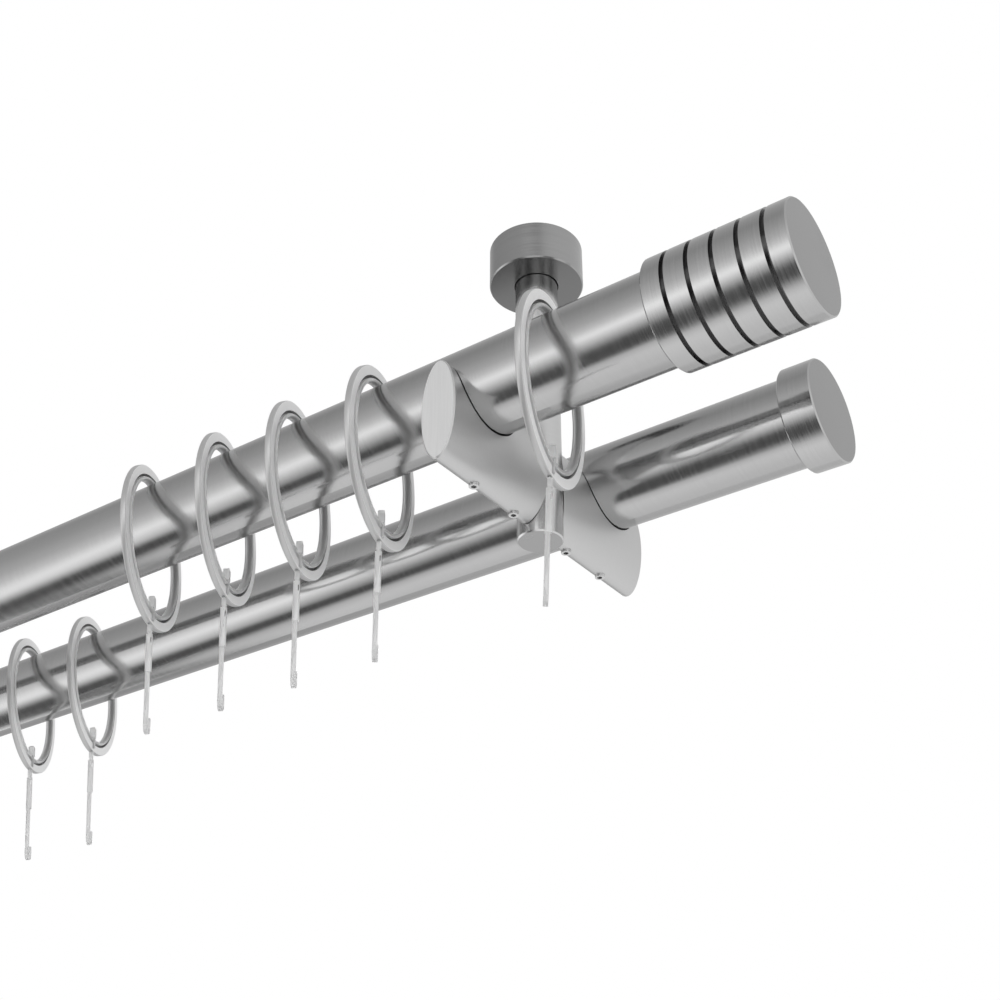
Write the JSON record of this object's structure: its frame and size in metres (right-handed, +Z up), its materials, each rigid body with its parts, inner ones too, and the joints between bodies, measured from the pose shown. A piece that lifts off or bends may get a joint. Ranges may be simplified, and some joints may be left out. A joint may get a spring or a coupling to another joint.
{
  "type": "double curtain pole",
  "caption": "Ceiling-mounted double curtain pole of brushed steel tubes, with grooved finials, end caps, drop brackets and lined rings with hooks.",
  "frame": {"origin": "centre of the right-hand ceiling plate's screw hole, on the ceiling face", "axes": "+X along the poles to the right-hand end, +Y from the room to the back pole, +Z up into the ceiling"},
  "size_m": [1.084, 0.1235, 0.1533],
  "materials": {
    "pole_steel": "finely brushed round the tube",
    "finial_steel": "brushed, turned",
    "bracket_steel": "satin brushed",
    "ring_steel": "satin",
    "screw_steel": "plain stainless",
    "zinc_steel": "zinc plated",
    "liner_plastic": "grey translucent plastic",
    "hook_plastic": "clear frosted plastic",
    "rubber": "matt"
  },
  "bodies": {
    "rail": {"front_pole": "pole_steel", "back_pole": "pole_steel", "finial_right": "finial_steel", "finial_left": "finial_steel", "end_cap_right": "finial_steel", "end_cap_left": "finial_steel", "ceiling_plate_right": "zinc_steel", "stem_right": "bracket_steel", "stem_grub_screw_right": "screw_steel", "rose_right": "bracket_steel", "rose_o_ring_right": "rubber", "arm_front_right": "bracket_steel", "arm_back_right": "bracket_steel", "arm_stud_right": "screw_steel", "arm_grub_screws_right": "screw_steel", "ceiling_plate_left": "zinc_steel", "stem_left": "bracket_steel", "stem_grub_screw_left": "screw_steel", "rose_left": "bracket_steel", "rose_o_ring_left": "rubber", "arm_front_left": "bracket_steel", "arm_back_left": "bracket_steel", "arm_stud_left": "screw_steel", "arm_grub_screws_left": "screw_steel"},
    "front_ring_1": {"ring_front_1": "ring_steel", "ring_liner_front_1": "liner_plastic", "curtain_hook_front_1": "hook_plastic"},
    "front_ring_2": {"ring_front_2": "ring_steel", "ring_liner_front_2": "liner_plastic", "curtain_hook_front_2": "hook_plastic"},
    "front_ring_3": {"ring_front_3": "ring_steel", "ring_liner_front_3": "liner_plastic", "curtain_hook_front_3": "hook_plastic"},
    "front_ring_4": {"ring_front_4": "ring_steel", "ring_liner_front_4": "liner_plastic", "curtain_hook_front_4": "hook_plastic"},
    "front_ring_5": {"ring_front_5": "ring_steel", "ring_liner_front_5": "liner_plastic", "curtain_hook_front_5": "hook_plastic"},
    "front_ring_6": {"ring_front_6": "ring_steel", "ring_liner_front_6": "liner_plastic", "curtain_hook_front_6": "hook_plastic"},
    "front_ring_7": {"ring_front_7": "ring_steel", "ring_liner_front_7": "liner_plastic", "curtain_hook_front_7": "hook_plastic"},
    "back_ring_1": {"ring_back_1": "ring_steel", "ring_liner_back_1": "liner_plastic", "curtain_hook_back_1": "hook_plastic"},
    "back_ring_2": {"ring_back_2": "ring_steel", "ring_liner_back_2": "liner_plastic", "curtain_hook_back_2": "hook_plastic"},
    "back_ring_3": {"ring_back_3": "ring_steel", "ring_liner_back_3": "liner_plastic", "curtain_hook_back_3": "hook_plastic"},
    "back_ring_4": {"ring_back_4": "ring_steel", "ring_liner_back_4": "liner_plastic", "curtain_hook_back_4": "hook_plastic"}
  },
  "joints": [
    {"name": "front_ring_1_slide", "type": "slide", "parent": "rail", "child": "front_ring_1", "axis": [1, 0, 0], "range_m": [-0.0102, 0.03]},
    {"name": "front_ring_2_slide", "type": "slide", "parent": "rail", "child": "front_ring_2", "axis": [1, 0, 0], "range_m": [-0.0124, 0.0195]},
    {"name": "front_ring_3_slide", "type": "slide", "parent": "rail", "child": "front_ring_3", "axis": [1, 0, 0], "range_m": [-0.0117, 0.0124]},
    {"name": "front_ring_4_slide", "type": "slide", "parent": "rail", "child": "front_ring_4", "axis": [1, 0, 0], "range_m": [-0.0123, 0.0117]},
    {"name": "front_ring_5_slide", "type": "slide", "parent": "rail", "child": "front_ring_5", "axis": [1, 0, 0], "range_m": [-0.29, 0.0123]},
    {"name": "front_ring_6_slide", "type": "slide", "parent": "rail", "child": "front_ring_6", "axis": [1, 0, 0], "range_m": [-0.095, 0.3]},
    {"name": "front_ring_7_slide", "type": "slide", "parent": "rail", "child": "front_ring_7", "axis": [1, 0, 0], "range_m": [-0.037, 0.0098]},
    {"name": "back_ring_1_slide", "type": "slide", "parent": "rail", "child": "back_ring_1", "axis": [1, 0, 0], "range_m": [-0.0135, 0.214]},
    {"name": "back_ring_2_slide", "type": "slide", "parent": "rail", "child": "back_ring_2", "axis": [1, 0, 0], "range_m": [-0.165, 0.0135]},
    {"name": "back_ring_3_slide", "type": "slide", "parent": "rail", "child": "back_ring_3", "axis": [1, 0, 0], "range_m": [-0.0105, 0.165]},
    {"name": "back_ring_4_slide", "type": "slide", "parent": "rail", "child": "back_ring_4", "axis": [1, 0, 0], "range_m": [-0.141, 0.0105]}
  ]
}
